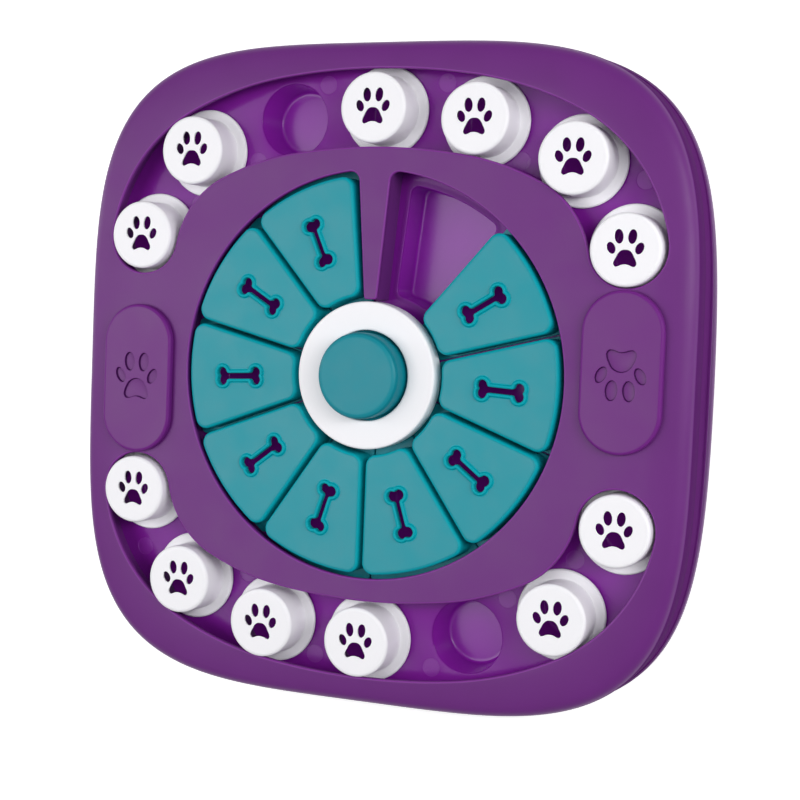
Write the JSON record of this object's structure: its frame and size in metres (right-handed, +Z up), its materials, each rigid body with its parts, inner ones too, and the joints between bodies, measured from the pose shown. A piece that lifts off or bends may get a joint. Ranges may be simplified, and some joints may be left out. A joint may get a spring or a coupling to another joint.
{
  "type": "dog puzzle feeder toy",
  "caption": "Rounded-square puzzle feeder for dogs: cups of food under wedge sliders and paw knobs that run in curved tracks, with a squeaker button in the middle.",
  "frame": {"origin": "on the ground under the middle of the round opening", "axes": "+Z up, +Y towards the spoke at 12 o'clock, +X to the right as the toy is seen from above"},
  "size_m": [0.343, 0.347, 0.0528],
  "materials": {
    "tray_purple": "glossy, lightly polished moulding",
    "cover_purple": "fine matte texture",
    "white_plastic": "semi-gloss",
    "teal_plastic": "satin",
    "dark_rubber": "matte",
    "steel": "plain"
  },
  "bodies": {
    "housing": {"base_tray": "tray_purple", "top_cover": "cover_purple", "centre_ring": "white_plastic", "squeaker_bellows": "dark_rubber", "squeaker_reed": "white_plastic", "rubber_feet": "dark_rubber", "cover_screws": "steel", "ring_screws": "steel"},
    "wedge_slider_1": {"wedge_slider_1": "teal_plastic"},
    "wedge_slider_2": {"wedge_slider_2": "teal_plastic"},
    "wedge_slider_3": {"wedge_slider_3": "teal_plastic"},
    "wedge_slider_4": {"wedge_slider_4": "teal_plastic"},
    "wedge_slider_5": {"wedge_slider_5": "teal_plastic"},
    "wedge_slider_6": {"wedge_slider_6": "teal_plastic"},
    "wedge_slider_7": {"wedge_slider_7": "teal_plastic"},
    "wedge_slider_8": {"wedge_slider_8": "teal_plastic"},
    "wedge_slider_9": {"wedge_slider_9": "teal_plastic"},
    "paw_knob_1": {"paw_knob_1": "white_plastic"},
    "paw_knob_2": {"paw_knob_2": "white_plastic"},
    "paw_knob_3": {"paw_knob_3": "white_plastic"},
    "paw_knob_4": {"paw_knob_4": "white_plastic"},
    "paw_knob_5": {"paw_knob_5": "white_plastic"},
    "paw_knob_6": {"paw_knob_6": "white_plastic"},
    "paw_knob_7": {"paw_knob_7": "white_plastic"},
    "paw_knob_8": {"paw_knob_8": "white_plastic"},
    "paw_knob_9": {"paw_knob_9": "white_plastic"},
    "paw_knob_10": {"paw_knob_10": "white_plastic"},
    "paw_knob_11": {"paw_knob_11": "white_plastic"},
    "paw_knob_12": {"paw_knob_12": "white_plastic"},
    "squeaker_button": {"squeaker_button": "teal_plastic"},
    "side_slider_left": {"side_slider_left": "cover_purple", "side_keeper_left": "cover_purple"},
    "side_slider_right": {"side_slider_right": "cover_purple", "side_keeper_right": "cover_purple"}
  },
  "joints": [
    {"name": "wedge_1_turn", "type": "hinge", "parent": "housing", "child": "wedge_slider_1", "pos_m": [0, 0, 0.03], "axis": [0, 0, 1], "range_deg": [0, 34.75]},
    {"name": "wedge_2_turn", "type": "hinge", "parent": "housing", "child": "wedge_slider_2", "pos_m": [0, 0, 0.03], "axis": [0, 0, 1], "range_deg": [0, 34.75]},
    {"name": "wedge_3_turn", "type": "hinge", "parent": "housing", "child": "wedge_slider_3", "pos_m": [0, 0, 0.03], "axis": [0, 0, 1], "range_deg": [0, 34.75]},
    {"name": "wedge_4_turn", "type": "hinge", "parent": "housing", "child": "wedge_slider_4", "pos_m": [0, 0, 0.03], "axis": [0, 0, 1], "range_deg": [0, 34.75]},
    {"name": "wedge_5_turn", "type": "hinge", "parent": "housing", "child": "wedge_slider_5", "pos_m": [0, 0, 0.03], "axis": [0, 0, 1], "range_deg": [0, 34.75]},
    {"name": "wedge_6_turn", "type": "hinge", "parent": "housing", "child": "wedge_slider_6", "pos_m": [0, 0, 0.03], "axis": [0, 0, 1], "range_deg": [0, 34.75]},
    {"name": "wedge_7_turn", "type": "hinge", "parent": "housing", "child": "wedge_slider_7", "pos_m": [0, 0, 0.03], "axis": [0, 0, 1], "range_deg": [0, 34.75]},
    {"name": "wedge_8_turn", "type": "hinge", "parent": "housing", "child": "wedge_slider_8", "pos_m": [0, 0, 0.03], "axis": [0, 0, 1], "range_deg": [0, 34.75]},
    {"name": "wedge_9_turn", "type": "hinge", "parent": "housing", "child": "wedge_slider_9", "pos_m": [0, 0, 0.03], "axis": [0, 0, 1], "range_deg": [0, 34.75]},
    {"name": "knob_1_travel", "type": "hinge", "parent": "housing", "child": "paw_knob_1", "pos_m": [-0.06752, 0.05705, 0.03], "axis": [0, 0, 1], "range_deg": [-45.83, 0]},
    {"name": "knob_2_travel", "type": "hinge", "parent": "housing", "child": "paw_knob_2", "pos_m": [-0.00782, -0.07929, 0.03], "axis": [0, 0, 1], "range_deg": [-14.19, 0]},
    {"name": "knob_3_travel", "type": "hinge", "parent": "housing", "child": "paw_knob_3", "pos_m": [-0.00863, -0.09466, 0.03], "axis": [0, 0, 1], "range_deg": [0, 13.29]},
    {"name": "knob_4_travel", "type": "hinge", "parent": "housing", "child": "paw_knob_4", "pos_m": [0.01576, 0.01399, 0.03], "axis": [0, 0, 1], "range_deg": [0, 25.55]},
    {"name": "knob_5_travel", "type": "hinge", "parent": "housing", "child": "paw_knob_5", "pos_m": [0.05002, 0.04473, 0.03], "axis": [0, 0, 1], "range_deg": [0, 37.23]},
    {"name": "knob_6_travel", "type": "hinge", "parent": "housing", "child": "paw_knob_6", "pos_m": [0.06428, 0.05389, 0.03], "axis": [0, 0, 1], "range_deg": [0, 44.4]},
    {"name": "knob_7_travel", "type": "hinge", "parent": "housing", "child": "paw_knob_7", "pos_m": [-0.06613, -0.05567, 0.03], "axis": [0, 0, 1], "range_deg": [0, 45.01]},
    {"name": "knob_8_travel", "type": "hinge", "parent": "housing", "child": "paw_knob_8", "pos_m": [0.08353, 0.34519, 0.03], "axis": [0, 0, 1], "range_deg": [0, 6.13]},
    {"name": "knob_9_travel", "type": "hinge", "parent": "housing", "child": "paw_knob_9", "pos_m": [-0.06323, -0.63135, 0.03], "axis": [0, 0, 1], "range_deg": [-6.3, 0]},
    {"name": "knob_10_travel", "type": "hinge", "parent": "housing", "child": "paw_knob_10", "pos_m": [0.12176, -1.12635, 0.03], "axis": [0, 0, 1], "range_deg": [-3.12, 0]},
    {"name": "knob_11_travel", "type": "hinge", "parent": "housing", "child": "paw_knob_11", "pos_m": [-0.08536, 0.35099, 0.03], "axis": [0, 0, 1], "range_deg": [-6.05, 0]},
    {"name": "knob_12_travel", "type": "hinge", "parent": "housing", "child": "paw_knob_12", "pos_m": [0.06546, -0.05428, 0.03], "axis": [0, 0, 1], "range_deg": [-44.19, 0]},
    {"name": "button_press", "type": "slide", "parent": "housing", "child": "squeaker_button", "axis": [0, 0, -1], "range_m": [0, 0.004], "stiffness_N_per_m": 600, "deforming": ["squeaker_bellows"]},
    {"name": "left_slide", "type": "slide", "parent": "housing", "child": "side_slider_left", "axis": [0, 1, 0], "range_m": [0, 0.0164]},
    {"name": "right_slide", "type": "slide", "parent": "housing", "child": "side_slider_right", "axis": [0, -1, 0], "range_m": [0, 0.0164]}
  ],
  "couplings": [
    {"joint": "wedge_2_turn", "follows": "wedge_1_turn", "ratio": 1},
    {"joint": "wedge_3_turn", "follows": "wedge_1_turn", "ratio": 1},
    {"joint": "wedge_4_turn", "follows": "wedge_1_turn", "ratio": 1},
    {"joint": "wedge_5_turn", "follows": "wedge_1_turn", "ratio": 1},
    {"joint": "wedge_6_turn", "follows": "wedge_1_turn", "ratio": 1},
    {"joint": "wedge_7_turn", "follows": "wedge_1_turn", "ratio": 1},
    {"joint": "wedge_8_turn", "follows": "wedge_1_turn", "ratio": 1},
    {"joint": "wedge_9_turn", "follows": "wedge_1_turn", "ratio": 1},
    {"joint": "knob_3_travel", "follows": "knob_6_travel", "ratio": 0.29925},
    {"joint": "knob_4_travel", "follows": "knob_6_travel", "ratio": 0.57536},
    {"joint": "knob_5_travel", "follows": "knob_6_travel", "ratio": 0.83854},
    {"joint": "knob_2_travel", "follows": "knob_1_travel", "ratio": 0.30957},
    {"joint": "knob_8_travel", "follows": "knob_7_travel", "ratio": 0.13624},
    {"joint": "knob_9_travel", "follows": "knob_7_travel", "ratio": -0.13993},
    {"joint": "knob_10_travel", "follows": "knob_7_travel", "ratio": -0.06936},
    {"joint": "knob_11_travel", "follows": "knob_12_travel", "ratio": 0.13685}
  ]
}
